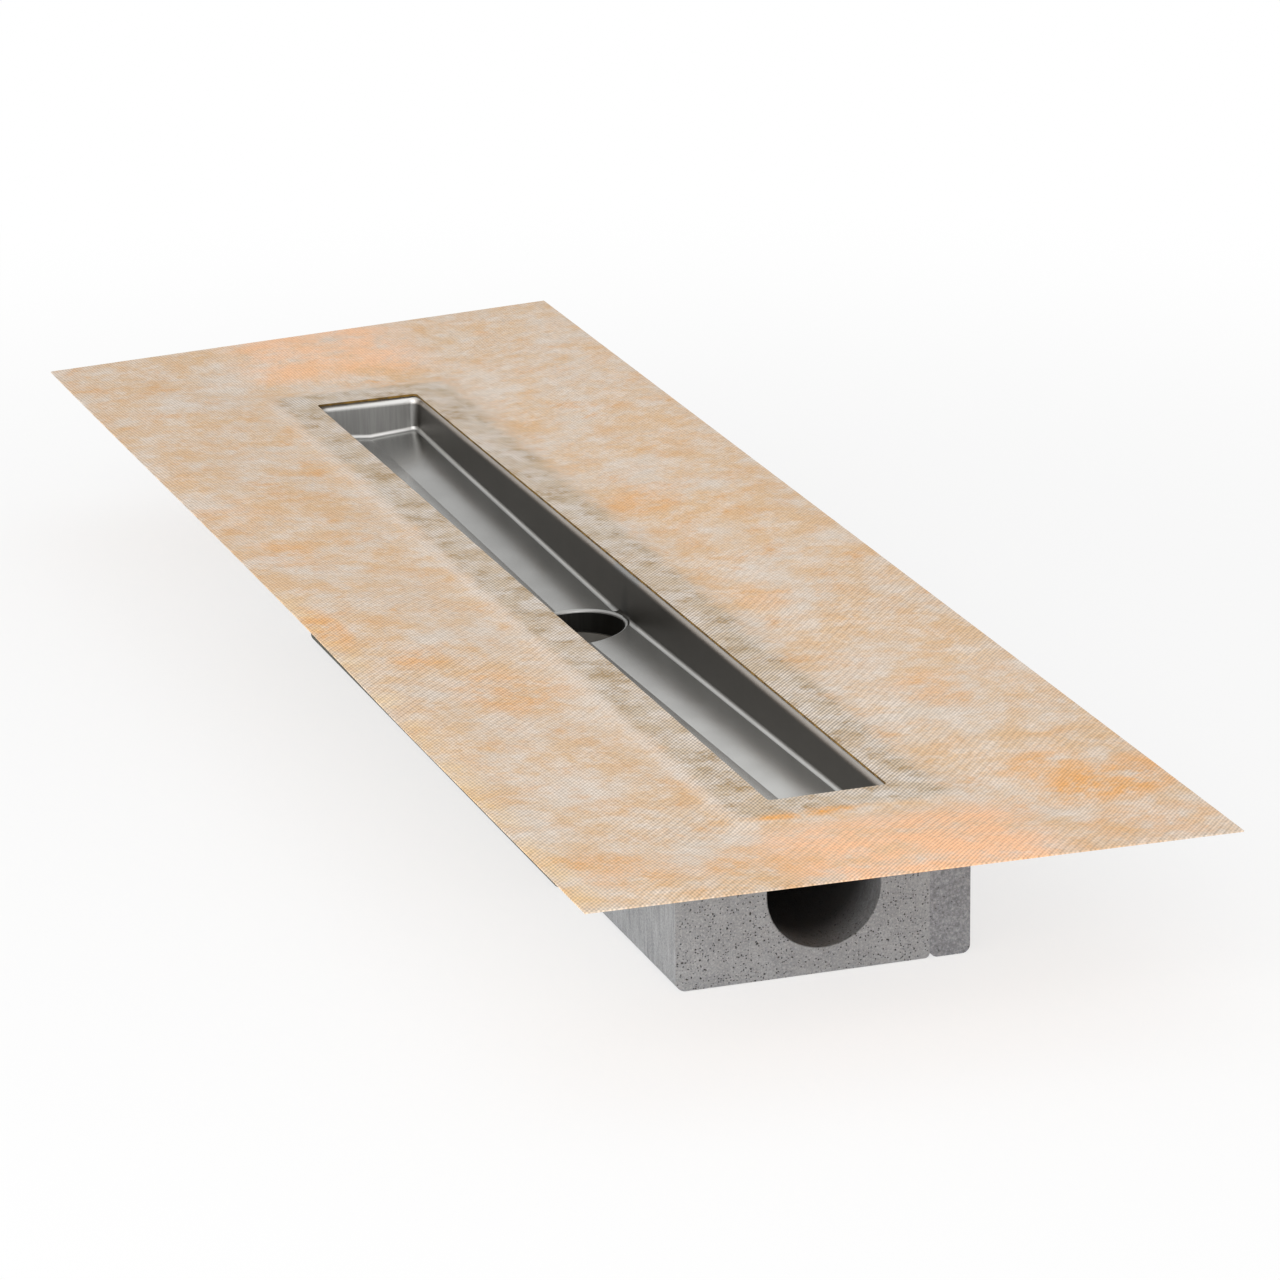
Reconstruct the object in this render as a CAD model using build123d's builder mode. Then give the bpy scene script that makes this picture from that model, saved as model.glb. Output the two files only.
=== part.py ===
from build123d import *
import os

# Linear shower drain in millimetres, +Z up.
# The origin is on the ground, under the axis of the outlet at the middle of the channel.
# X runs across the channel and Y along it. The waste pipe leaves towards -Y.

os.makedirs("parts", exist_ok=True)

# Heights
total_height = 110.0        # underside of the foam support to the top of the collar
pan_bed = 6.0               # foam left under the trap

# Waterproofing collar and the adhesive that bonds it to the flange
collar_length = 1210.0
collar_width = 380.0
collar_thickness = 0.8
bond_thickness = 0.4

# Channel body, drawn from one stainless sheet
opening_length = 900.0
opening_width = 72.0
flange_width = 25.0
flange_corner = 8.0
sheet = 1.2
wall_draft = 3.0            # degrees
plan_corner = 6.0           # radius of the trough's upright corners
floor_fillet = 3.0          # radius between the walls and the floor
lip_radius = 6.0            # bend between the flange and the walls
outlet_depth = 36.0         # top of the collar to the floor's lowest point, at the outlet
rise_to_end = 8.0           # fall of the floor along half the channel
rise_to_side = 3.0          # fall of the floor from a side wall to the middle
outlet_radius = 33.0        # bore of the drawn outlet neck
rim_radius = 2.0            # rounding between the floor and the neck
rim_land = 1.0              # ring beyond the rounding, let into the side walls
neck_length = 12.5          # from the floor's lowest point to the end of the neck
recess_height = 6.0         # how far up the side walls the ring is let in

# Trap housing, a body and a base pan welded together
shell = 2.5                 # moulded wall
bowl_radius = 52.0          # outside
pan_height = 12.0
pan_edge = 3.0              # rounding of the pan's bottom edge
pan_lap = 4.0               # height of the pan's inner rim, inside the body
pan_lap_wall = 2.0
under_floor = 0.8           # air between the housing's socket and the channel
socket_gap = 2.4            # between neck and socket, filled by the seal
socket_depth = 9.0
insert_seat = 4.0           # height of the bore that takes the insert's rim
seat_width = 1.8            # ledge that carries the insert
spigot_diameter = 50.0      # outside of the waste connection
spigot_wall = 2.3
spigot_height = 45.0        # axis above the ground
spigot_length = 53.0        # beyond the bowl
spigot_chamfer = 1.2
pipe_stop = 2.0             # height of the shoulder that the pipe's socket meets
pipe_stop_length = 4.0      # beyond the bowl

# Trap insert, a dip tube standing in a cup
water_seal = 30.0
overflow_gap = 5.5          # between the cup's rim and the top of the housing inside
dip_radius = 19.0           # bore of the dip tube
insert_wall = 2.0
funnel_fall = 10.0
ring_section = 1.8          # thickness of the insert's sealing ring
cup_edge = 2.0              # rounding of the cup's bottom edge
rib_count = 3
rib_height = 14.0
rib_drop = 4.0              # from the cup's rim down to the ribs
rib_start = 90.0            # degrees, direction of the first rib, clear of the finger bar
bar_width = 4.0             # finger bar across the dip tube
bar_height = 5.0

# Seal between the neck and the socket
seal_height = 5.0
seal_body = 1.1             # thickness of the ring behind the lip
seal_tip = 1.2              # height of the lip's tip
retainer_height = 2.6

# Foam support
support_length = 890.0
support_width = 179.0       # main block and right side block together
side_block_width = 25.0
left_block_length = 516.0
left_block_proud = 11.0     # how far the left block stands out of the main block
groove_radius = 34.5        # pipe groove, open to the front face
groove_bed = 15.5           # foam below the groove
left_edge = 6.0             # rounding of the main block's long bottom edges
right_edge = 3.0
side_edge = 5.0             # rounding of the side blocks' long bottom edges

# Clearances
slip = 0.3                  # pieces that slide into one another
seal_clearance = 0.1        # rubber against its seat
trough_clearance = 1.0      # foam round the trough
trap_clearance = 2.0        # foam round the trap
bevel_angle = 45.0          # degrees, of the bed's top edge under the flange's bend

# Levels, from the top down
collar_bottom = total_height - collar_thickness
flange_top = collar_bottom - bond_thickness
flange_bottom = flange_top - sheet
floor_low = total_height - outlet_depth
neck_bottom = floor_low - neck_length
socket_top = floor_low - sheet - under_floor
socket_floor = socket_top - socket_depth
ledge_top = neck_bottom - slip
seat_level = ledge_top - insert_seat
plate_bottom = seat_level - shell
cup_rim = plate_bottom - overflow_gap
dip_bottom = cup_rim - water_seal
pan_top = pan_bed + pan_height
pan_floor = pan_bed + shell
funnel_low = ledge_top - funnel_fall

# Radii and places that several pieces share
flange_outer_width = opening_width + 2 * flange_width
flange_outer_length = opening_length + 2 * flange_width
neck_outside = outlet_radius + sheet
pilot_bore = neck_outside + slip
pilot_outside = pilot_bore + shell
socket_bore = neck_outside + socket_gap
socket_outside = socket_bore + shell
seat_bore = outlet_radius - seat_width
bowl_bore = bowl_radius - shell
cup_radius = seat_bore - slip
dip_outside = dip_radius + insert_wall
spigot_reach = bowl_radius + spigot_length
block_left = -support_width / 2
block_right = support_width / 2 - side_block_width
left_block_face = block_left - left_block_proud
spigot_plane = Plane(origin=(0, 0, spigot_height), x_dir=(1, 0, 0), z_dir=(0, -1, 0))


def floor_plane(side_x, side_y, growth):
    """Plane of one quarter of the floor, which falls to the outlet from an end and from a side."""
    slope_x = rise_to_side / (opening_width / 2)
    slope_y = rise_to_end / (opening_length / 2)
    return Plane(origin=(0, 0, floor_low - growth), z_dir=(-side_x * slope_x, -side_y * slope_y, 1))


def trough_form(growth):
    """Solid form of the trough, grown outwards and downwards by the given amount."""
    valley = 1.0            # edges nearer than this to a middle plane are the floor's own folds
    with BuildPart() as form:
        with BuildSketch(Plane.XY.offset(flange_top)):
            RectangleRounded(opening_width + 2 * growth, opening_length + 2 * growth, plan_corner + growth)
        extrude(amount=-(outlet_depth + growth), taper=wall_draft)
        for side_x in (-1, 1):
            for side_y in (-1, 1):
                split(bisect_by=floor_plane(side_x, side_y, growth), keep=Keep.TOP)
        floor_edges = form.faces().group_by(Axis.Z)[0].edges()
        wall_edges = floor_edges.filter_by(lambda edge: min(abs(edge.center().X), abs(edge.center().Y)) > valley)
        fillet(wall_edges, radius=floor_fillet + growth)
    return form.part


def outlet_form(growth):
    """Solid form of the neck and of the ring round it, grown outwards and downwards."""
    with BuildPart() as form:
        with BuildSketch(Plane.XY.offset(neck_bottom)):
            Circle(outlet_radius + rim_radius + rim_land + growth)
        extrude(amount=neck_length + recess_height)
        split(bisect_by=floor_plane(1, 1, growth), keep=Keep.TOP)
        with BuildSketch(Plane.XY.offset(neck_bottom)):
            Circle(outlet_radius + growth)
        extrude(amount=neck_length + recess_height)
        rim = form.edges().filter_by(GeomType.ELLIPSE).sort_by(SortBy.LENGTH)[0]
        fillet(rim, radius=rim_radius - growth)
        # One quarter stands on its own plane of the floor, and the others are its mirror images.
        split(bisect_by=Plane.YZ, keep=Keep.TOP)
        split(bisect_by=Plane.ZX, keep=Keep.TOP)
        mirror(about=Plane.YZ)
        mirror(about=Plane.XZ)
    return form.part


def flange_outline():
    """Outer outline of the flange, for use inside a sketch."""
    RectangleRounded(flange_outer_width, flange_outer_length, flange_corner)


def turned(points):
    """Solid made by turning a closed profile about the outlet's axis."""
    with BuildPart() as form:
        with BuildSketch(Plane.XZ):
            with BuildLine():
                Polyline(points, close=True)
            make_face()
        revolve(axis=Axis.Z)
    return form.part


# Waterproofing collar, cut out over the trough
with BuildPart() as waterproofing_collar:
    with BuildSketch(Plane.XY.offset(collar_bottom)):
        Rectangle(collar_width, collar_length)
        RectangleRounded(opening_width, opening_length, plan_corner, mode=Mode.SUBTRACT)
    extrude(amount=collar_thickness)
waterproofing_collar.part.label = "waterproofing_collar"
export_step(waterproofing_collar.part, "parts/waterproofing_collar.step")


# Adhesive between the collar and the flat of the flange
with BuildPart() as collar_adhesive:
    with BuildSketch(Plane.XY.offset(flange_top)):
        flange_outline()
        RectangleRounded(opening_width + 2 * lip_radius, opening_length + 2 * lip_radius,
                         plan_corner + lip_radius, mode=Mode.SUBTRACT)
    extrude(amount=bond_thickness)
collar_adhesive.part.label = "collar_adhesive"
export_step(collar_adhesive.part, "parts/collar_adhesive.step")


# Channel body: flange, trough with its falls, outlet rim and neck
with BuildPart() as channel_body:
    with BuildSketch(Plane.XY.offset(flange_bottom)):
        flange_outline()
    extrude(amount=sheet)
    add(trough_form(sheet))
    underside = channel_body.faces().filter_by(Plane.XY).group_by(Axis.Z)[-2][0]
    fillet(underside.inner_wires()[0].edges(), radius=lip_radius - sheet)
    add(outlet_form(sheet))
    add(trough_form(0), mode=Mode.SUBTRACT)
    add(outlet_form(0), mode=Mode.SUBTRACT)
    top_face = channel_body.faces().filter_by(Plane.XY).sort_by(Axis.Z)[-1]
    fillet(top_face.inner_wires()[0].edges(), radius=lip_radius)
channel_body.part.label = "channel_body"
export_step(channel_body.part, "parts/channel_body.step")


# Lip seal in the housing's socket, wiping the neck
with BuildPart() as neck_lip_seal:
    seal_back = socket_bore - seal_clearance
    seal_tip_radius = neck_outside + seal_clearance
    seal_middle = socket_floor + seal_height / 2
    add(turned([(seal_back - seal_body, socket_floor), (seal_back, socket_floor),
                (seal_back, socket_floor + seal_height), (seal_back - seal_body, socket_floor + seal_height),
                (seal_tip_radius, seal_middle + seal_tip / 2), (seal_tip_radius, seal_middle - seal_tip / 2)]))
neck_lip_seal.part.label = "neck_lip_seal"
export_step(neck_lip_seal.part, "parts/neck_lip_seal.step")


# Ring that holds the lip seal down in the socket
with BuildPart() as seal_retaining_ring:
    with BuildSketch(Plane.XY.offset(socket_floor + seal_height)):
        Circle(socket_bore - seal_clearance)
        Circle(pilot_bore, mode=Mode.SUBTRACT)
    extrude(amount=retainer_height)
seal_retaining_ring.part.label = "seal_retaining_ring"
export_step(seal_retaining_ring.part, "parts/seal_retaining_ring.step")


# Inside of the trap body: bowl, throat, insert seat, neck pilot and seal socket
with BuildPart() as trap_inside:
    add(turned([(0, pan_top), (bowl_bore, pan_top), (bowl_bore, plate_bottom), (seat_bore, plate_bottom),
                (seat_bore, seat_level), (outlet_radius, seat_level), (outlet_radius, ledge_top),
                (pilot_bore, ledge_top), (pilot_bore, socket_floor), (socket_bore, socket_floor),
                (socket_bore, socket_top), (0, socket_top)]))


# Waterway of the spigot, which stays outside the socket's wall above the bowl
with BuildPart() as waterway:
    with BuildSketch(spigot_plane):
        Circle(spigot_diameter / 2 - spigot_wall)
    extrude(amount=spigot_reach)
    with BuildSketch(Plane.XY.offset(plate_bottom)):
        Circle(socket_outside)
    extrude(amount=total_height, mode=Mode.SUBTRACT)


# Trap body: bowl, stepped socket and waste spigot in one moulding
with BuildPart() as trap_body:
    add(turned([(0, pan_top), (bowl_radius, pan_top), (bowl_radius, seat_level), (pilot_outside, seat_level),
                (pilot_outside, socket_floor - shell), (socket_outside, socket_floor - shell),
                (socket_outside, socket_top), (0, socket_top)]))
    shoulder = trap_body.faces().filter_by(GeomType.CYLINDER).sort_by(SortBy.RADIUS)[-1].edges()
    fillet(shoulder.filter_by(GeomType.CIRCLE).sort_by(Axis.Z)[-1], radius=shell)
    with BuildSketch(spigot_plane):
        Circle(spigot_diameter / 2 + pipe_stop)
    extrude(amount=bowl_radius + pipe_stop_length)
    with BuildSketch(spigot_plane):
        Circle(spigot_diameter / 2)
    extrude(amount=spigot_reach)
    chamfer(trap_body.faces().sort_by(Axis.Y)[0].edges(), length=spigot_chamfer)
    add(trap_inside.part, mode=Mode.SUBTRACT)
    add(waterway.part, mode=Mode.SUBTRACT)
trap_body.part.label = "trap_body"
export_step(trap_body.part, "parts/trap_body.step")


# Base pan welded under the trap body, with a rim that laps inside it
with BuildPart() as trap_pan:
    lap_outside = bowl_bore - seal_clearance
    add(turned([(0, pan_bed), (bowl_radius, pan_bed), (bowl_radius, pan_top), (lap_outside, pan_top),
                (lap_outside, pan_top + pan_lap), (lap_outside - pan_lap_wall, pan_top + pan_lap),
                (lap_outside - pan_lap_wall, pan_floor), (0, pan_floor)]))
    fillet(trap_pan.edges().group_by(Axis.Z)[0], radius=pan_edge)
trap_pan.part.label = "trap_pan"
export_step(trap_pan.part, "parts/trap_pan.step")


# Cup of the trap, which stands on the pan and holds the water seal
with BuildPart() as trap_cup:
    cup_bore = cup_radius - insert_wall
    add(turned([(0, pan_floor), (cup_radius, pan_floor), (cup_radius, cup_rim), (cup_bore, cup_rim),
                (cup_bore, pan_floor + insert_wall), (0, pan_floor + insert_wall)]))
    fillet(trap_cup.edges().group_by(Axis.Z)[0], radius=cup_edge)
trap_cup.part.label = "trap_cup"
export_step(trap_cup.part, "parts/trap_cup.step")


# Dip tube with its funnel, seal groove, centring ribs and finger bar
with BuildPart() as dip_tube:
    rim_outside = outlet_radius - slip
    groove_floor = outlet_radius - ring_section - 2 * seal_clearance
    groove_middle = (seat_level + ledge_top) / 2
    groove_half = ring_section / 2 + seal_clearance
    add(turned([(dip_radius, dip_bottom), (dip_outside, dip_bottom), (dip_outside, funnel_low),
                (cup_radius, seat_level), (rim_outside, seat_level),
                (rim_outside, groove_middle - groove_half), (groove_floor, groove_middle - groove_half),
                (groove_floor, groove_middle + groove_half), (rim_outside, groove_middle + groove_half),
                (rim_outside, ledge_top), (seat_bore, ledge_top), (dip_radius, funnel_low)]))
    rib_inner = dip_radius + insert_wall / 2
    rib_outer = cup_bore - slip
    with BuildSketch(Plane.XY.offset(cup_rim - rib_drop - rib_height)):
        with PolarLocations((rib_inner + rib_outer) / 2, rib_count, start_angle=rib_start):
            Rectangle(rib_outer - rib_inner, insert_wall)
    extrude(amount=rib_height)
    with BuildSketch(Plane.XY.offset(funnel_low - bar_height)):
        Rectangle(2 * rib_inner, bar_width)
    extrude(amount=bar_height)
dip_tube.part.label = "dip_tube"
export_step(dip_tube.part, "parts/dip_tube.step")


# Sealing ring in the groove of the dip tube's rim
with BuildPart() as dip_tube_o_ring:
    ring_centre = outlet_radius - seal_clearance - ring_section / 2
    with BuildSketch(Plane.XZ):
        with Locations((ring_centre, groove_middle)):
            Circle(ring_section / 2)
    revolve(axis=Axis.Z)
dip_tube_o_ring.part.label = "dip_tube_o_ring"
export_step(dip_tube_o_ring.part, "parts/dip_tube_o_ring.step")


# Main block of the support, with beds for the trough, the trap, the pipe and the left block
with BuildPart() as support_block:
    with BuildSketch():
        with Locations(((block_left + block_right) / 2, 0)):
            Rectangle(block_right - block_left, support_length)
    extrude(amount=flange_bottom)
    long_edges = support_block.edges().filter_by(Axis.Y).group_by(Axis.Z)[0].sort_by(Axis.X)
    fillet(long_edges[0], radius=left_edge)
    long_edges = support_block.edges().filter_by(Axis.Y).group_by(Axis.Z)[0].sort_by(Axis.X)
    fillet(long_edges[-1], radius=right_edge)
    add(trough_form(sheet + trough_clearance), mode=Mode.SUBTRACT)
    bed_bevel = lip_radius - sheet
    bed_growth = sheet + trough_clearance + bed_bevel
    with BuildSketch(Plane.XY.offset(flange_bottom)):
        RectangleRounded(opening_width + 2 * bed_growth, opening_length + 2 * bed_growth, plan_corner + bed_growth)
    extrude(amount=-bed_bevel, taper=bevel_angle, mode=Mode.SUBTRACT)
    with BuildSketch(Plane.XY.offset(pan_bed)):
        Circle(bowl_radius + trap_clearance)
    extrude(amount=total_height, mode=Mode.SUBTRACT)
    with BuildSketch(Plane(origin=(0, 0, groove_bed + groove_radius), x_dir=(1, 0, 0), z_dir=(0, -1, 0))):
        Circle(groove_radius)
        Rectangle(2 * groove_radius, total_height, align=(Align.CENTER, Align.MIN))
    extrude(amount=support_length, mode=Mode.SUBTRACT)
    with BuildSketch():
        with Locations((left_block_face, 0)):
            Rectangle(side_block_width, left_block_length + 2 * slip, align=(Align.MIN, Align.CENTER))
    extrude(amount=total_height, mode=Mode.SUBTRACT)
support_block.part.label = "support_block"
export_step(support_block.part, "parts/support_block.step")


def side_block(face, length):
    """Side block of the support, from its left face, standing beside the main block."""
    with BuildPart() as block:
        with BuildSketch():
            with Locations((face, 0)):
                Rectangle(side_block_width, length, align=(Align.MIN, Align.CENTER))
        extrude(amount=flange_bottom)
        fillet(block.edges().filter_by(Axis.Y).group_by(Axis.Z)[0], radius=side_edge)
    return block.part


with BuildPart() as right_side_block:
    add(side_block(block_right, support_length))
right_side_block.part.label = "right_side_block"
export_step(right_side_block.part, "parts/right_side_block.step")


with BuildPart() as left_side_block:
    add(side_block(left_block_face, left_block_length))
left_side_block.part.label = "left_side_block"
export_step(left_side_block.part, "parts/left_side_block.step")
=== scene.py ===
import math

import bmesh
import bpy
from mathutils import Matrix, Vector


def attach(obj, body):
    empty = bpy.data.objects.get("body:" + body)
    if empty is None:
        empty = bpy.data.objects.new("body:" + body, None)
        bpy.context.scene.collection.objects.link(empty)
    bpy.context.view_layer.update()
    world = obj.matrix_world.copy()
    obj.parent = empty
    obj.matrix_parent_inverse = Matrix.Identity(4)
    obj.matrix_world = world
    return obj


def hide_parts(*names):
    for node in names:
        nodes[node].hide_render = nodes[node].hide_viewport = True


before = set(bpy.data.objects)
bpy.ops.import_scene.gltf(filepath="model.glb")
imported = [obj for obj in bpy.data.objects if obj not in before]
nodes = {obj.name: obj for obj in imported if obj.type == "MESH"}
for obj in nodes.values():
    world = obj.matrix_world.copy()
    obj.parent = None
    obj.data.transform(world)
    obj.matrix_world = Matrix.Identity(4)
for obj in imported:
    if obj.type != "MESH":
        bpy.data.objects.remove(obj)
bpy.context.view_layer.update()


# Camera, at the photograph's place, with its angles in radians
CAMERA_PLACE = (-1.09362, -3.31109, 1.17812)
CAMERA_HEADING = -0.33115
CAMERA_DIP = 0.30890
CAMERA_ROLL = -0.012937
CAMERA_LENS = 162.155

camera_data = bpy.data.cameras.new("camera")
camera_data.sensor_width = 36.0
camera_data.lens = CAMERA_LENS
camera_data.clip_start = 0.1
camera_data.clip_end = 80.0
camera = bpy.data.objects.new("camera", camera_data)
bpy.context.scene.collection.objects.link(camera)
camera.matrix_world = (
    Matrix.Translation(CAMERA_PLACE)
    @ Matrix.Rotation(CAMERA_HEADING, 4, "Z")
    @ Matrix.Rotation(math.pi / 2 - CAMERA_DIP, 4, "X")
    @ Matrix.Rotation(CAMERA_ROLL, 4, "Z")
)
bpy.context.scene.camera = camera


def srgb(text):
    """Linear colour of a written #rrggbb."""
    parts = [int(text[i:i + 2], 16) / 255 for i in (1, 3, 5)]
    return tuple(p / 12.92 if p <= 0.04045 else ((p + 0.055) / 1.055) ** 2.4 for p in parts)


def scaled(colour, factor):
    """A lighter or darker colour, with no channel above 1."""
    return tuple(min(1.0, channel * factor) for channel in colour)


class Shader:
    """One material, with short names for its nodes. Lengths are in metres."""

    def __init__(self, name, average):
        self.material = bpy.data.materials.new(name)
        self.material.use_nodes = True
        self.tree = self.material.node_tree
        self.surface = self.tree.nodes["Principled BSDF"]
        self.surface.inputs["Base Color"].default_value = (*average, 1.0)
        self.place = self.tree.nodes.new("ShaderNodeTexCoord").outputs["Object"]
        self.x, self.y, self.z = self.split(self.place)

    def put(self, socket, value):
        """Link a socket to an output, or set its value."""
        if isinstance(value, bpy.types.NodeSocket):
            self.tree.links.new(value, socket)
        elif isinstance(value, tuple) and len(value) == 3 and socket.type == "RGBA":
            socket.default_value = (*value, 1.0)
        else:
            socket.default_value = value

    def set(self, **values):
        """Fill inputs of the surface. An underscore stands for a space in their names."""
        for name, value in values.items():
            self.put(self.surface.inputs[name.replace("_", " ")], value)

    def split(self, vector):
        """The x, y and z of a vector."""
        node = self.tree.nodes.new("ShaderNodeSeparateXYZ")
        self.put(node.inputs[0], vector)
        return node.outputs

    def normal(self):
        """The x, y and z of the surface's normal."""
        return self.split(self.tree.nodes.new("ShaderNodeNewGeometry").outputs["Normal"])

    def math(self, operation, *values):
        node = self.tree.nodes.new("ShaderNodeMath")
        node.operation = operation
        for socket, value in zip(node.inputs, values):
            self.put(socket, value)
        return node.outputs[0]

    def chain(self, operation, values):
        """One operation over all values, from the first to the last."""
        result = values[0]
        for value in values[1:]:
            result = self.math(operation, result, value)
        return result

    def times(self, *values):
        return self.chain("MULTIPLY", values)

    def add(self, *values):
        return self.chain("ADD", values)

    def highest(self, *values):
        return self.chain("MAXIMUM", values)

    def centred(self, value):
        """A level from 0 to 1, moved so that its middle is 0."""
        return self.math("SUBTRACT", value, 0.5)

    def length(self, a, b):
        """Length of the line that goes a one way and b across."""
        return self.math("SQRT", self.add(self.times(a, a), self.times(b, b)))

    def mapped(self, scale=(1, 1, 1), turn=0.0, move=(0, 0, 0)):
        """The point's place, scaled, turned about Z and moved."""
        node = self.tree.nodes.new("ShaderNodeMapping")
        self.put(node.inputs["Vector"], self.place)
        node.inputs["Scale"].default_value = scale
        node.inputs["Rotation"].default_value = (0, 0, turn)
        node.inputs["Location"].default_value = move
        return node.outputs[0]

    def noise(self, scale, detail=3.0, rough=0.55, vector=None, warp=0.0):
        node = self.tree.nodes.new("ShaderNodeTexNoise")
        for name, value in (("Scale", scale), ("Detail", detail), ("Roughness", rough), ("Distortion", warp),
                            ("Vector", self.place if vector is None else vector)):
            self.put(node.inputs[name], value)
        return node.outputs["Fac"]

    def cells(self, scale):
        """Distance from the middle of the nearest cell."""
        return self.cell_node(scale).outputs["Distance"]

    def cell_levels(self, scale):
        """A level of its own for each cell."""
        return self.split(self.cell_node(scale).outputs["Color"])[0]

    def cell_node(self, scale):
        node = self.tree.nodes.new("ShaderNodeTexVoronoi")
        node.inputs["Scale"].default_value = scale
        self.put(node.inputs["Vector"], self.place)
        return node

    def bands(self, pitch, turn, warp):
        """Soft bands a pitch apart. At scale 1 the node's own bands are 2 pi / 20 apart."""
        node = self.tree.nodes.new("ShaderNodeTexWave")
        node.inputs["Scale"].default_value = 2 * math.pi / (20 * pitch)
        node.inputs["Distortion"].default_value = warp
        node.inputs["Detail"].default_value = 1.0
        node.inputs["Detail Scale"].default_value = 0.3
        self.put(node.inputs["Vector"], self.mapped(turn=turn))
        return node.outputs["Fac"]

    def ramp(self, value, low, high, to_low=0.0, to_high=1.0):
        """Smooth step from to_low at low to to_high at high."""
        node = self.tree.nodes.new("ShaderNodeMapRange")
        node.interpolation_type = "SMOOTHSTEP"
        for name, given in (("Value", value), ("From Min", low), ("From Max", high),
                            ("To Min", to_low), ("To Max", to_high)):
            self.put(node.inputs[name], given)
        return node.outputs["Result"]

    def mottle(self, scale, shift, low, high):
        """Ragged blotches. The shift picks another stretch of the same noise."""
        return self.ramp(self.noise(scale, 8, 0.72, self.mapped(move=shift)), low, high)

    def mix(self, factor, first, second, blend="MIX"):
        """Two colours mixed. The node's colour inputs are 6 and 7, and its colour output is 2."""
        node = self.tree.nodes.new("ShaderNodeMix")
        node.data_type = "RGBA"
        node.blend_type = blend
        self.put(node.inputs[0], factor)
        self.put(node.inputs[6], first)
        self.put(node.inputs[7], second)
        return node.outputs[2]

    def grey(self, value):
        node = self.tree.nodes.new("ShaderNodeCombineXYZ")
        for socket in node.inputs:
            self.put(socket, value)
        return node.outputs[0]

    def spot(self, x, y, radius_x, radius_y):
        """1 in the middle of an oval on the top face, falling softly to 0."""
        dx = self.math("DIVIDE", self.math("SUBTRACT", self.x, x), radius_x)
        dy = self.math("DIVIDE", self.math("SUBTRACT", self.y, y), radius_y)
        return self.ramp(self.add(self.times(dx, dx), self.times(dy, dy)), 1.6, 0.1)

    def patch(self, low_x, high_x, low_y, high_y, soft):
        """1 inside a rectangle on the top face, with soft sides."""
        sides = []
        for value, low, high in ((self.x, low_x, high_x), (self.y, low_y, high_y)):
            sides.append(self.ramp(value, low - soft, low + soft))
            sides.append(self.ramp(value, high + soft, high - soft))
        return self.times(*sides)

    def bump(self, height, distance, strength=1.0, under=None):
        """Normal bent by a height, on top of the normal under it."""
        node = self.tree.nodes.new("ShaderNodeBump")
        node.inputs["Strength"].default_value = strength
        node.inputs["Distance"].default_value = distance
        self.put(node.inputs["Height"], height)
        if under is not None:
            self.put(node.inputs["Normal"], under)
        return node.outputs["Normal"]


# Warm places of the fleece, as ovals: x and y of the middle, radius along x and y, strength
WARM_PLACES = (
    (0.150, -0.497, 0.045, 0.030, 1.0),
    (0.182, -0.482, 0.020, 0.026, 0.8),
    (0.130, -0.458, 0.030, 0.028, 0.7),
    (-0.024, -0.4755, 0.034, 0.0080, 1.4),
    (0.052, -0.380, 0.020, 0.030, 0.5),
    (0.123, -0.300, 0.022, 0.035, 0.5),
    (-0.183, -0.070, 0.013, 0.045, 0.9),
    (-0.146, -0.142, 0.018, 0.020, 0.7),
    (0.092, 0.134, 0.026, 0.030, 0.55),
    (-0.112, -0.215, 0.034, 0.045, 0.6),
    (-0.166, 0.195, 0.030, 0.035, 0.4),
    (-0.160, 0.100, 0.026, 0.030, 0.45),
    (0.093, -0.092, 0.018, 0.030, 0.45),
    (-0.070, -0.550, 0.050, 0.032, 0.6),
    (-0.150, -0.540, 0.030, 0.035, 0.5),
    (0.145, -0.565, 0.045, 0.030, 0.5),
)
# Peach areas at the sheet's ends: lowest and highest x, lowest and highest y, softness of the sides
FAR_PEACH = (-0.060, 0.064, 0.514, 0.680, 0.022)
NEAR_PEACH = (-0.060, 0.084, -0.680, -0.500, 0.024)
# Greyer band: distances from the middle, across and along, where it begins and where it is full
BAND_ACROSS = (0.070, 0.056)
BAND_ALONG = (0.481, 0.471)
# Painted highlight along a crease on the left side of the flange
CREASE_X = -0.0665


def fleece_ground(s):
    """Pale cloudy ground, with tan and orange stains and peach ends."""
    colour = s.mix(s.mottle(16, (0, 0, 0), 0.36, 0.64), srgb("#dcb88f"), srgb("#dccdbd"))
    tan = s.times(s.mottle(36, (3, 1, 0), 0.44, 0.68), 0.50)
    colour = s.mix(tan, colour, srgb("#dcae7e"))
    pale = s.times(s.mottle(50, (1, 9, 0), 0.44, 0.66), 0.55)
    colour = s.mix(pale, colour, srgb("#e7dbcf"))
    orange = s.times(s.mottle(34, (7, 2, 0), 0.50, 0.68), s.mottle(13, (2, 2, 5), 0.42, 0.62), 0.58)
    colour = s.mix(orange, colour, srgb("#dd9f55"))

    # Where more of the bonding colour comes through
    ovals = [s.times(s.spot(*oval), strength) for *oval, strength in WARM_PLACES]
    warm = s.times(s.highest(*ovals), s.mottle(50, (2, 5, 0), 0.34, 0.62), 0.85)
    colour = s.mix(warm, colour, srgb("#eaa550"))

    peach = s.times(s.highest(s.patch(*FAR_PEACH), s.patch(*NEAR_PEACH)),
                    s.mottle(40, (4, 4, 0), 0.26, 0.62), s.ramp(s.y, -0.3, 0.3, 0.95, 0.75))
    return s.mix(peach, colour, srgb("#fdc394"))


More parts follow.
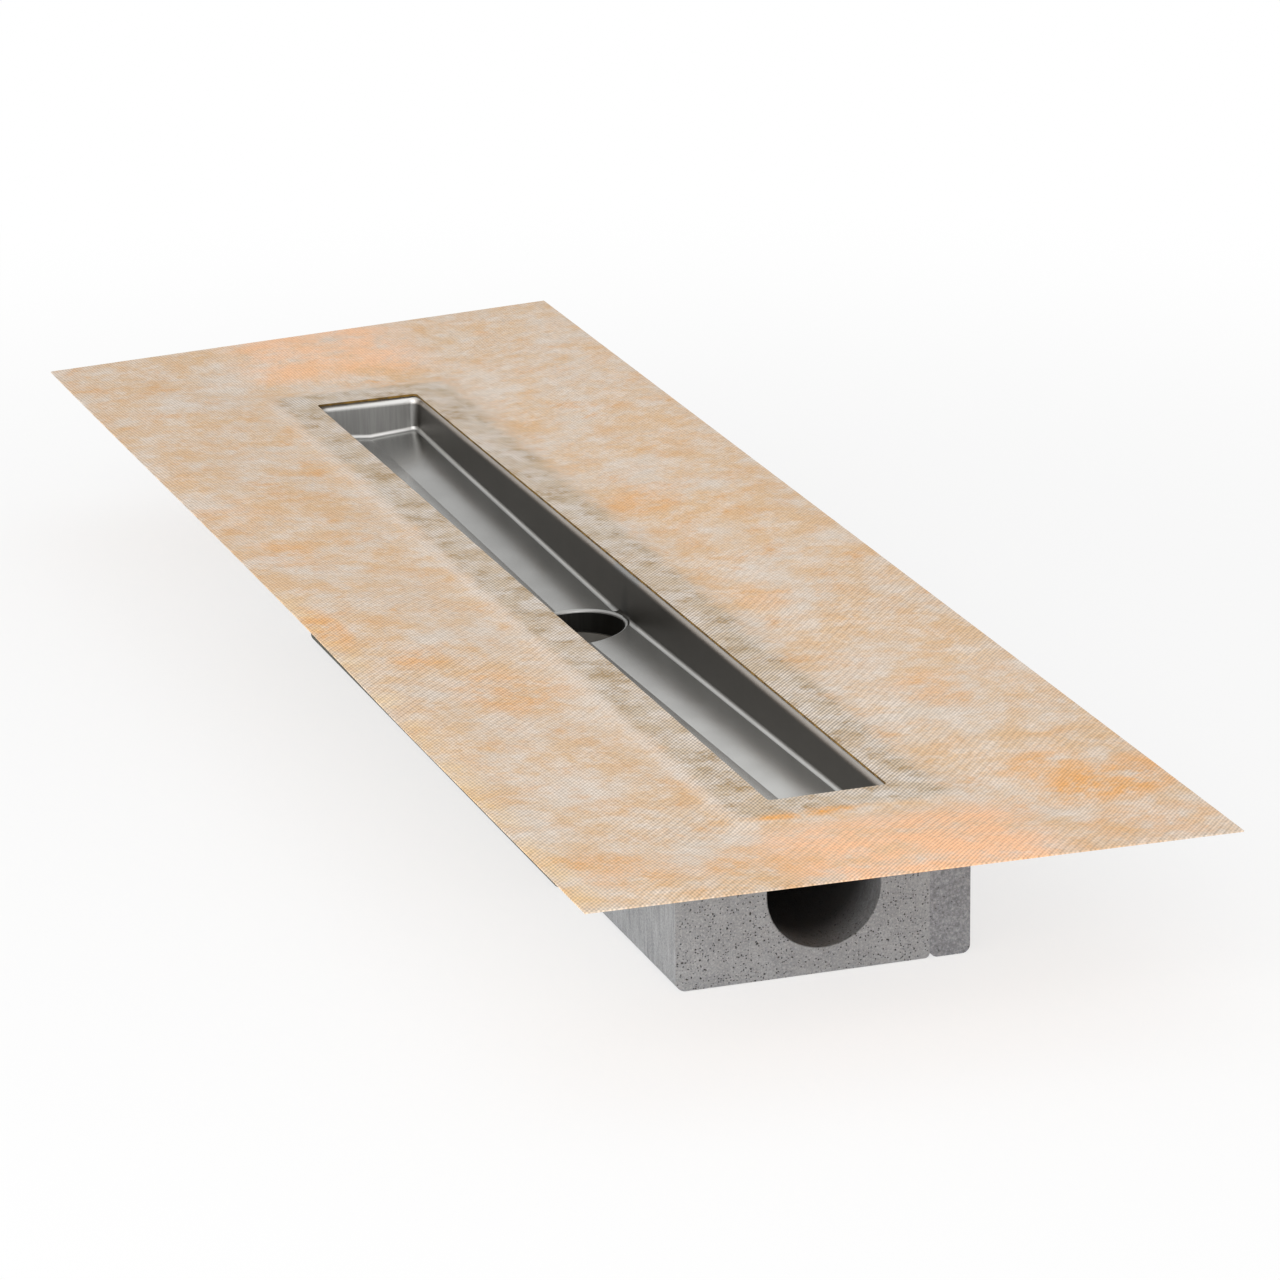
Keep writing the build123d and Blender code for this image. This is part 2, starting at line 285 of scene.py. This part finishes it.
def flange_band(s):
    """1 over the flange, with an edge that wanders."""
    wander = s.times(s.centred(s.noise(45, 8, 0.72)), 0.024)
    return s.times(s.ramp(s.add(s.math("ABSOLUTE", s.x), wander), *BAND_ACROSS),
                   s.ramp(s.add(s.math("ABSOLUTE", s.y), wander), *BAND_ALONG))


def band_colour(s, fibres):
    """Greyer than the ground, with olive stains that break up between the fibres."""
    colour = s.mix(s.mottle(38, (8, 0, 0), 0.38, 0.62), srgb("#bfad94"), srgb("#d3cac0"))
    olive = s.times(s.mottle(36, (5, 0, 0), 0.47, 0.62), s.ramp(fibres, 0.36, 0.58, 0.2, 1.0), 0.90)
    return s.mix(olive, colour, srgb("#8e6f36"))


def fleece_material():
    """Bonded fleece: stained pale ground, a greyer band over the flange, and ribs in two directions."""
    s = Shader("fleece", srgb("#d8c0a8"))
    fibres = s.noise(330, 4, 0.7)
    band = flange_band(s)
    colour = s.mix(s.times(band, 0.80), fleece_ground(s), band_colour(s, fibres))
    # Painted highlight along the crease, where the sheet bends over the flange's edge
    crease_highlight = s.times(s.ramp(s.math("ABSOLUTE", s.math("SUBTRACT", s.x, CREASE_X)), 0.007, 0.001),
                     s.ramp(s.math("ABSOLUTE", s.y), 0.48, 0.45), 0.30)
    colour = s.mix(crease_highlight, colour, srgb("#e2d8cf"))

    # Yellower towards the left edge, on its near half
    rim = s.times(s.ramp(s.x, -0.172, -0.190), s.ramp(s.y, 0.05, -0.05),
                  s.mottle(22, (0, 6, 0), 0.36, 0.60), 0.55)
    colour = s.mix(rim, colour, srgb("#ecc78e"))

    # Two families of fine ribs, each showing where the other is weak, and coarse ones on the near half
    first = s.bands(pitch=0.00227, turn=0.733, warp=1.6)
    second = s.bands(pitch=0.00222, turn=-0.07, warp=1.6)
    coarse = s.bands(pitch=0.0050, turn=0.70, warp=3.0)
    first_share = s.add(s.ramp(s.y, 0.35, -0.30, 0.25, 0.85),
                        s.ramp(s.noise(11, 3), 0.35, 0.65, -0.15, 0.25))
    second_share = s.math("SUBTRACT", s.ramp(s.x, 0.02, -0.12, 0.50, 0.85), s.times(first_share, 0.25))
    fine = s.add(s.times(s.centred(first), first_share, 0.34),
                 s.times(s.centred(second), second_share, 0.40))
    broad = s.times(s.centred(coarse), s.ramp(s.y, 0.15, -0.15), s.ramp(s.noise(9, 3), 0.42, 0.58), 0.15)
    rib_shade = s.add(s.times(fine, s.add(1.0, band)), broad)

    # The ribs' painted shade and the grain of the fibres darken and lighten the colour
    grain = s.add(s.times(s.centred(s.noise(1000, 2, 0.6)), 0.36), s.times(s.centred(fibres), 0.62))
    colour = s.mix(1.0, colour, s.grey(s.add(rib_shade, grain, 1.0)), "MULTIPLY")
    s.set(Base_Color=colour, Roughness=0.92, Sheen_Weight=0.15, Sheen_Roughness=0.5, Specular_IOR_Level=0.2)
    weave = s.add(s.times(second, second_share), s.times(fibres, 0.6), s.times(first, first_share))
    s.set(Normal=s.bump(weave, 0.00014, 0.7, s.bump(s.noise(24, 3, 0.55), 0.0008, 0.40)))
    return s.material


def cut_edge_material():
    """The sheet's cut edge, where its core and the glue show."""
    s = Shader("cut_edge", srgb("#7c5f22"))
    colour = s.mix(s.ramp(s.noise(160, 4, 0.6), 0.35, 0.65), srgb("#94702a"), srgb("#5c4418"))
    s.set(Base_Color=colour, Roughness=0.6)
    s.set(Normal=s.bump(s.noise(1400, 3), 0.0002, 0.5))
    return s.material


# Places on the channel where the steel's painted light and shade change, each as where the change begins and
# where it is full
SIDE_BEND_TOP = (0.098, 0.104)    # height
OUTLET_RIM = (0.046, 0.041)       # distance from the outlet's axis
OUTLET_NECK = (0.036, 0.034)
LIGHTER_FLOOR = (0.10, -0.40)     # y


def steel_material():
    """Deep-drawn stainless: a near-mirror floor, walls duller and darker with painted shade, and bends
    bright with painted highlights.
    """
    s = Shader("stainless", (0.34, 0.336, 0.325))
    normal_x, _, up = s.normal()
    facing_x = s.math("ABSOLUTE", normal_x)
    from_outlet = s.length(s.x, s.y)
    level, wall = s.ramp(up, 0.60, 0.97), s.ramp(up, 0.42, 0.02)

    # Bends: painted highlights, bright at the trough's ends, duller along its sides and still duller and
    # browner at their top, where a reflection of the fleece is painted, and dull at the outlet
    side_bend_highlight = s.mix(s.ramp(s.z, *SIDE_BEND_TOP), (0.44, 0.43, 0.41), (0.34, 0.30, 0.26))
    bends = s.mix(facing_x, (0.78, 0.77, 0.75), side_bend_highlight)
    bends = s.mix(s.ramp(from_outlet, *OUTLET_RIM), bends, (0.36, 0.355, 0.345))

    # Floor, with a painted reflection that makes it lighter towards the near end
    flat = s.mix(s.ramp(s.y, *LIGHTER_FLOOR), (0.315, 0.316, 0.306), (0.53, 0.53, 0.515))
    colour = s.mix(level, bends, flat)

    # Walls: painted shade, darker along the sides than at the ends, and darkest inside the outlet's neck
    upright = s.mix(facing_x, (0.41, 0.405, 0.395), (0.130, 0.120, 0.106))
    upright = s.mix(s.ramp(from_outlet, *OUTLET_NECK), upright, (0.06, 0.058, 0.053))
    colour = s.mix(wall, colour, upright)

    # Faint clouds all over, and upright marks on the end walls
    clouds = s.noise(24, 3, 0.55)
    colour = s.mix(s.ramp(clouds, 0.3, 0.7, 0.0, 0.10), colour, (0.12, 0.12, 0.115))
    marks = s.noise(1.0, 4, 0.6, s.mapped(scale=(520, 520, 9)))
    end_marks = s.times(s.math("SUBTRACT", 1.0, facing_x), wall, s.ramp(marks, 0.35, 0.65), 0.25)
    colour = s.mix(end_marks, colour, (0.18, 0.177, 0.172))

    roughness = s.add(s.ramp(up, 0.90, 0.996, 0.44, 0.21), s.ramp(clouds, 0.3, 0.7, -0.01, 0.03))
    s.set(Base_Color=colour, Metallic=1.0, Roughness=roughness)
    s.set(Normal=s.bump(s.noise(14, 1, 0.5), 0.0005, 0.12))
    return s.material


# Pipe groove of the main foam block: radius, height of its axis, and y of its mouth
GROOVE_RADIUS = 0.0345
GROOVE_HEIGHT = 0.050
GROOVE_MOUTH = -0.445


def foam_pits(s, grain, bead, share):
    """Small ragged pits in some of the cells, in three sizes: the mask for their painted shade."""
    pits = []
    for scale, chosen_share, size in ((bead * 1.1, share, 0.26),
                                      (bead * 2.0, share * 1.8, 0.34),
                                      (bead * 0.6, share * 0.3, 0.17)):
        ragged = s.add(s.cells(scale), s.times(s.centred(grain), 0.70))
        chosen = s.ramp(s.cell_levels(scale), 1.0 - chosen_share, 1.004 - chosen_share)
        pits.append(s.times(s.ramp(ragged, size, size * 0.55), chosen))
    return s.highest(*pits)


def groove_shade(s):
    """Painted shade in the pipe groove, growing from its mouth inwards, as far as the outlet's axis."""
    from_axis = s.length(s.x, s.math("SUBTRACT", s.z, GROOVE_HEIGHT))
    return s.times(s.ramp(from_axis, GROOVE_RADIUS + 0.0006, GROOVE_RADIUS + 0.0002),
                   s.ramp(s.y, GROOVE_MOUTH + 0.001, GROOVE_MOUTH + 0.040, 0.50, 0.95),
                   s.ramp(s.y, 0.0, -0.02))


def foam_material(name, light, dark, pit_and_groove_shade, bead, pore_share, blotch, streaked=0.0, grooved=False):
    """Bead foam: packed beads, pits with painted shade in some of them, and brushed streaks on the sides
    where streaked is 1.
    bead and blotch are how many beads and blotches there are to a metre, roughly."""
    s = Shader(name, light)
    sideways = s.times(s.ramp(s.math("ABSOLUTE", s.normal()[0]), 0.6, 0.9), streaked)
    grain = s.noise(bead * 2.2, 4, 0.75)
    blotches = s.ramp(s.noise(blotch, 5, 0.7, warp=0.4), 0.36, 0.64)
    colour = s.mix(s.times(blotches, 0.60), light, dark)
    colour = s.mix(s.times(s.cell_levels(bead), 0.22), colour, dark)
    colour = s.mix(s.times(s.ramp(grain, 0.50, 0.66), 0.60), colour, scaled(light, 1.40))
    colour = s.mix(s.times(s.ramp(grain, 0.48, 0.34), 0.50), colour, scaled(dark, 0.62))
    streaks = s.noise(1.0, 5, 0.7, s.mapped(scale=(330, 330, 42)))
    colour = s.mix(s.times(sideways, s.ramp(streaks, 0.50, 0.66), 0.55), colour, scaled(light, 1.25))
    colour = s.mix(s.times(sideways, s.ramp(streaks, 0.48, 0.34), 0.45), colour, scaled(dark, 0.72))
    # Pits, sunk in by the bump and darkened with painted shade
    pits = s.times(foam_pits(s, grain, bead, pore_share), s.math("SUBTRACT", 1.0, s.times(sideways, 0.9)))
    colour = s.mix(s.times(pits, 0.88), colour, pit_and_groove_shade)
    # Painted shade inside the pipe groove, in the pits' colour
    if grooved:
        colour = s.mix(groove_shade(s), colour, pit_and_groove_shade)
    s.set(Base_Color=colour, Roughness=0.85, Specular_IOR_Level=0.3)
    s.set(Normal=s.bump(s.math("SUBTRACT", s.times(grain, 0.4), pits), 0.0005, 0.7))
    return s.material


def plastic_material(name, colour, roughness, speckle):
    """Moulded plastic or rubber, with faint clouds, a fine grain and lighter specks."""
    s = Shader(name, colour)
    grain = s.noise(650, 3, 0.6)
    base = s.mix(s.ramp(s.noise(55, 3, 0.5), 0.3, 0.7), colour, scaled(colour, 0.78))
    base = s.mix(s.times(s.ramp(grain, 0.58, 0.74), speckle), base, scaled(colour, 2.0))
    s.set(Base_Color=base, Specular_IOR_Level=0.35)
    s.set(Roughness=s.ramp(s.noise(45, 3, 0.6), 0.3, 0.7, roughness * 0.85, min(1.0, roughness * 1.2)))
    s.set(Normal=s.bump(grain, 0.00005, 0.5))
    return s.material


def adhesive_material():
    """Brown adhesive, uneven in colour and surface."""
    s = Shader("adhesive", srgb("#8a5a24"))
    base = s.mix(s.ramp(s.noise(80, 4, 0.6), 0.35, 0.65), srgb("#9a6626"), srgb("#5f3c18"))
    s.set(Base_Color=base, Roughness=0.45)
    s.set(Normal=s.bump(s.noise(260, 3, 0.6), 0.0002, 0.6))
    return s.material


fleece = fleece_material()
cut_edge = cut_edge_material()
stainless = steel_material()
trap_plastic = plastic_material("trap_plastic", (0.060, 0.062, 0.066), roughness=0.42, speckle=0.12)
insert_plastic = plastic_material("insert_plastic", (0.085, 0.074, 0.058), roughness=0.20, speckle=0.10)
rubber = plastic_material("rubber", (0.018, 0.018, 0.018), roughness=0.65, speckle=0.10)
cut_foam = foam_material("cut_foam", srgb("#a7aaad"), srgb("#8d9093"), srgb("#2e2e2e"),
                         bead=330, pore_share=0.22, blotch=40, streaked=1.0, grooved=True)
moulded_foam = foam_material("moulded_foam", srgb("#9ea1a6"), srgb("#727579"), srgb("#55555a"),
                             bead=300, pore_share=0.03, blotch=260)
# The left strip's foam is darker than the other foams: painted shade, where it lies under the collar's left
# edge
strip_foam = foam_material("strip_foam", srgb("#74746c"), srgb("#55554e"), srgb("#3c3c38"),
                           bead=260, pore_share=0.05, blotch=200)

finishes = {
    "collar_adhesive": adhesive_material(),
    "channel_body": stainless,
    "neck_lip_seal": rubber,
    "seal_retaining_ring": trap_plastic,
    "trap_body": trap_plastic,
    "trap_pan": trap_plastic,
    "trap_cup": insert_plastic,
    "dip_tube": insert_plastic,
    "dip_tube_o_ring": rubber,
    "support_block": cut_foam,
    "right_side_block": moulded_foam,
    "left_side_block": strip_foam,
}
for node, material in finishes.items():
    nodes[node].data.materials.clear()
    nodes[node].data.materials.append(material)


# Collar, a thin sheet that lies flat on the flange, and lifts a little at three corners and its left edge
COLLAR_TOP = 0.110
COLLAR_SHEET = 0.0008
GLUE_BEAD = 0.0007            # adhesive that shows below the sheet at the hole's edge
HALF_WIDTH, HALF_LENGTH = 0.190, 0.605
HOLE_HALF = (0.036, 0.450)
HOLE_CORNER = 0.003
HOLE_CORNER_STEPS = 6
FLAT_HALF = (0.0615, 0.4755)  # half size of the middle, which lies flat
LEFT_BOW = 0.0024             # height of the left edge's bow
BOW_NEAR, BOW_RISE = -0.30, 0.27  # y where it starts, and the length over which it rises
BOW_FAR, BOW_FALL = 0.60, 0.56    # y where it ends, and the length over which it comes down
DIP = 0.0010
RIPPLE = 0.0005
WALL_SLOT = 1                 # material slot of the sheet's edge walls
NEAR = 1e-6
# The outer corners as they lie
CORNERS = {
    (-1, 1): Vector((-0.1908, 0.6063, COLLAR_TOP)),
    (1, 1): Vector((0.1865, 0.6207, COLLAR_TOP + 0.013)),
    (1, -1): Vector((0.1887, -0.5975, COLLAR_TOP + 0.0019)),
    (-1, -1): Vector((-0.1938, -0.5988, COLLAR_TOP + 0.0054)),
}
# How far the hole's corners lie from a true rectangle's
HOLE_SHIFT = {
    (-1, 1): Vector((-0.0022, -0.0019, 0)),
    (1, 1): Vector((-0.0006, 0.0016, 0)),
    (1, -1): Vector((0.0009, 0.0008, 0)),
    (-1, -1): Vector((0.0002, -0.0012, 0)),
}


def clamped(value):
    return min(max(value, 0.0), 1.0)


def smooth(value):
    """Smooth step from 0 to 1."""
    value = clamped(value)
    return value * value * (3 - 2 * value)


def between(corners, u, v):
    """Point between four corners, for u and v from 0 to 1."""
    near = corners[(-1, -1)].lerp(corners[(1, -1)], u)
    return near.lerp(corners[(-1, 1)].lerp(corners[(1, 1)], u), v)


def collar_point(x, y):
    """Where a point of the flat sheet lies. From above, its sides run straight from corner to corner."""
    u, v = (x / HALF_WIDTH + 1) / 2, (y / HALF_LENGTH + 1) / 2
    outline = between(CORNERS, u, v)
    # The left edge bows up and is highest about its middle.
    outline.z += LEFT_BOW * (1 - u) * smooth((BOW_FAR - y) / BOW_FALL) * smooth((y - BOW_NEAR) / BOW_RISE)
    across = (abs(x) - FLAT_HALF[0]) / (HALF_WIDTH - FLAT_HALF[0])
    along = (abs(y) - FLAT_HALF[1]) / (HALF_LENGTH - FLAT_HALF[1])
    reach = clamped(max(across, along))
    hole_u, hole_v = clamped((x / HOLE_HALF[0] + 1) / 2), clamped((y / HOLE_HALF[1] + 1) / 2)
    laid = Vector((x, y, COLLAR_TOP)) + between(HOLE_SHIFT, hole_u, hole_v)
    place = laid.lerp(outline, smooth(reach))
    # Off the flange the sheet dips towards the foam, and it is never quite flat.
    dip = DIP * smooth(reach / 0.10) * (1 - smooth((reach - 0.10) / 0.35))
    inner = smooth(reach / 0.25) * (1 - smooth((reach - 0.80) / 0.20))
    ripple = RIPPLE * inner * (math.sin(23 * y + 31 * x + 0.8) + 0.7 * math.sin(11.3 * y - 47 * x + 2.1))
    return place.x, place.y, place.z - dip + ripple


def lines(limit, hole, outer_step, inner_step):
    """Grid positions from -limit to limit, with lines at the hole's sides and its corners' starts."""
    outer = round((limit - hole) / outer_step)
    inner = round((hole - HOLE_CORNER) / inner_step)
    values = {round(hole + (limit - hole) * i / outer, 6) for i in range(outer + 1)}
    values |= {round((hole - HOLE_CORNER) * i / inner, 6) for i in range(inner + 1)}
    return sorted(values | {-value for value in values})


def corner_fan(side_x, side_y):
    """Triangles between a corner of the hole's rectangle and its rounding."""
    start_x, start_y = side_x * (HOLE_HALF[0] - HOLE_CORNER), side_y * (HOLE_HALF[1] - HOLE_CORNER)
    tip = (side_x * HOLE_HALF[0], side_y * HOLE_HALF[1])
    angles = [math.pi / 2 * step / HOLE_CORNER_STEPS for step in range(HOLE_CORNER_STEPS + 1)]
    arc = [(start_x + side_x * HOLE_CORNER * math.cos(angle),
            start_y + side_y * HOLE_CORNER * math.sin(angle)) for angle in angles]
    for first, second in zip(arc, arc[1:]):
        yield [tip, second, first] if side_x * side_y > 0 else [tip, first, second]


def collar_cells():
    """Outlines of the flat sheet's mesh faces, round the hole with its rounded corners."""
    xs = lines(HALF_WIDTH, HOLE_HALF[0], outer_step=0.0043, inner_step=0.006)
    ys = lines(HALF_LENGTH, HOLE_HALF[1], outer_step=0.0052, inner_step=0.0074)
    for x0, x1 in zip(xs, xs[1:]):
        for y0, y1 in zip(ys, ys[1:]):
            mid_x, mid_y = (x0 + x1) / 2, (y0 + y1) / 2
            if abs(mid_x) > HOLE_HALF[0] or abs(mid_y) > HOLE_HALF[1]:
                yield [(x0, y0), (x1, y0), (x1, y1), (x0, y1)]
            elif abs(mid_x) > HOLE_HALF[0] - HOLE_CORNER and abs(mid_y) > HOLE_HALF[1] - HOLE_CORNER:
                yield from corner_fan(math.copysign(1, mid_x), math.copysign(1, mid_y))


def collar_mesh():
    """The sheet's top and underside, with walls along every open edge."""
    mesh = bmesh.new()
    made = {}

    def corner(x, y, under):
        key = (round(x, 6), round(y, 6), under)
        if key not in made:
            px, py, pz = collar_point(x, y)
            at_hole = abs(x) <= HOLE_HALF[0] + NEAR and abs(y) <= HOLE_HALF[1] + NEAR
            made[key] = mesh.verts.new((px, py, pz - under * (COLLAR_SHEET + at_hole * GLUE_BEAD)))
        return made[key]

    for cell in collar_cells():
        mesh.faces.new([corner(x, y, False) for x, y in cell])
        mesh.faces.new([corner(x, y, True) for x, y in reversed(cell)])
    keys = {vertex: key for key, vertex in made.items()}
    for edge in [edge for edge in mesh.edges if len(edge.link_faces) == 1]:
        (ax, ay, under), (bx, by, _) = keys[edge.verts[0]], keys[edge.verts[1]]
        if not under:
            wall = mesh.faces.new((corner(ax, ay, False), corner(bx, by, False),
                                   corner(bx, by, True), corner(ax, ay, True)))
            wall.material_index = WALL_SLOT
            for side in wall.edges:
                side.smooth = False
    bmesh.ops.recalc_face_normals(mesh, faces=mesh.faces)
    return mesh


def make_collar():
    mesh = collar_mesh()
    data = bpy.data.meshes.new("collar_sheet")
    mesh.to_mesh(data)
    mesh.free()
    data.materials.append(fleece)
    data.materials.append(cut_edge)
    # The cut edge shows at the hole. The outer walls are covered with fleece.
    for polygon in data.polygons:
        is_wall = polygon.material_index == WALL_SLOT
        at_hole = abs(polygon.center.x) < FLAT_HALF[0] and abs(polygon.center.y) < FLAT_HALF[1]
        polygon.use_smooth = not is_wall
        if is_wall and not at_hole:
            polygon.material_index = 0
    piece = bpy.data.objects.new("collar_sheet", data)
    bpy.context.scene.collection.objects.link(piece)
    return piece


collar = make_collar()
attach(collar, "root")
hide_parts("waterproofing_collar")


def seen_rays(tree):
    """1 for rays that show a surface: straight, in a mirror or through glass."""
    ray = tree.nodes.new("ShaderNodeLightPath").outputs
    seen = ray["Is Camera Ray"]
    for name in ("Is Glossy Ray", "Is Transmission Ray"):
        node = tree.nodes.new("ShaderNodeMath")
        node.operation = "MAXIMUM"
        tree.links.new(seen, node.inputs[0])
        tree.links.new(ray[name], node.inputs[1])
        seen = node.outputs[0]
    return seen


# Floor: white paint that keeps the object's shadow, and plain white further off
FLOOR_HALF = 30
FLOOR_LEVEL = -0.0005
SHADOW_REACH = (0.5, 1.5)     # distances between which the paint gives way to plain white
WHITE_SHARE = 0.72            # share of plain white close to the object

paint = Shader("floor_paint", (0.96, 0.96, 0.96))
paint.set(Roughness=0.95, Specular_IOR_Level=0.0)
white_share = paint.ramp(paint.length(paint.x, paint.y), *SHADOW_REACH, WHITE_SHARE, 1.0)
white = paint.tree.nodes.new("ShaderNodeEmission")
mixed = paint.tree.nodes.new("ShaderNodeMixShader")
paint.put(mixed.inputs["Fac"], paint.times(seen_rays(paint.tree), white_share))
paint.put(mixed.inputs[1], paint.surface.outputs[0])
paint.put(mixed.inputs[2], white.outputs[0])
paint.put(paint.tree.nodes["Material Output"].inputs["Surface"], mixed.outputs[0])

floor_mesh = bpy.data.meshes.new("floor")
floor_mesh.from_pydata([(side_x * FLOOR_HALF, side_y * FLOOR_HALF, FLOOR_LEVEL)
                        for side_x, side_y in ((-1, -1), (1, -1), (1, 1), (-1, 1))], [], [(0, 1, 2, 3)])
floor_mesh.materials.append(paint.material)
floor = bpy.data.objects.new("floor", floor_mesh)
bpy.context.scene.collection.objects.link(floor)


# World: white where it is seen or mirrored, and a plain level of light elsewhere
WORLD_LIGHT = 0.58
WORLD_SEEN = 1.0

world = bpy.data.worlds.new("studio")
world.use_nodes = True
bpy.context.scene.world = world
tree = world.node_tree
level = tree.nodes.new("ShaderNodeMapRange")
level.inputs["To Min"].default_value = WORLD_LIGHT
level.inputs["To Max"].default_value = WORLD_SEEN
tree.links.new(seen_rays(tree), level.inputs["Value"])
tree.links.new(level.outputs["Result"], tree.nodes["Background"].inputs["Strength"])
tree.nodes["Background"].inputs["Color"].default_value = (1, 1, 1, 1)


def lamp(name, place, target, size, power):
    """A rectangular lamp that faces its target."""
    data = bpy.data.lights.new(name, "AREA")
    data.shape = "RECTANGLE"
    data.size, data.size_y = size
    data.energy = power
    made = bpy.data.objects.new(name, data)
    bpy.context.scene.collection.objects.link(made)
    made.location = place
    made.rotation_mode = "QUATERNION"
    made.rotation_quaternion = (Vector(target) - Vector(place)).to_track_quat("-Z", "Y")


lamp("key", place=(-2.1, -2.7, 2.3), target=(0, -0.2, 0.05), size=(2.6, 2.6), power=57)
lamp("top", place=(0.3, 0.4, 3.2), target=(0, 0.2, 0.05), size=(3.0, 3.0), power=13)
lamp("front", place=(-0.9, -3.4, 0.62), target=(0, -0.4, 0.05), size=(2.4, 0.9), power=13)
lamp("left", place=(-3.0, -1.6, 0.6), target=(0, -0.4, 0.05), size=(2.4, 1.0), power=30)

bpy.context.scene.view_settings.view_transform = "Standard"
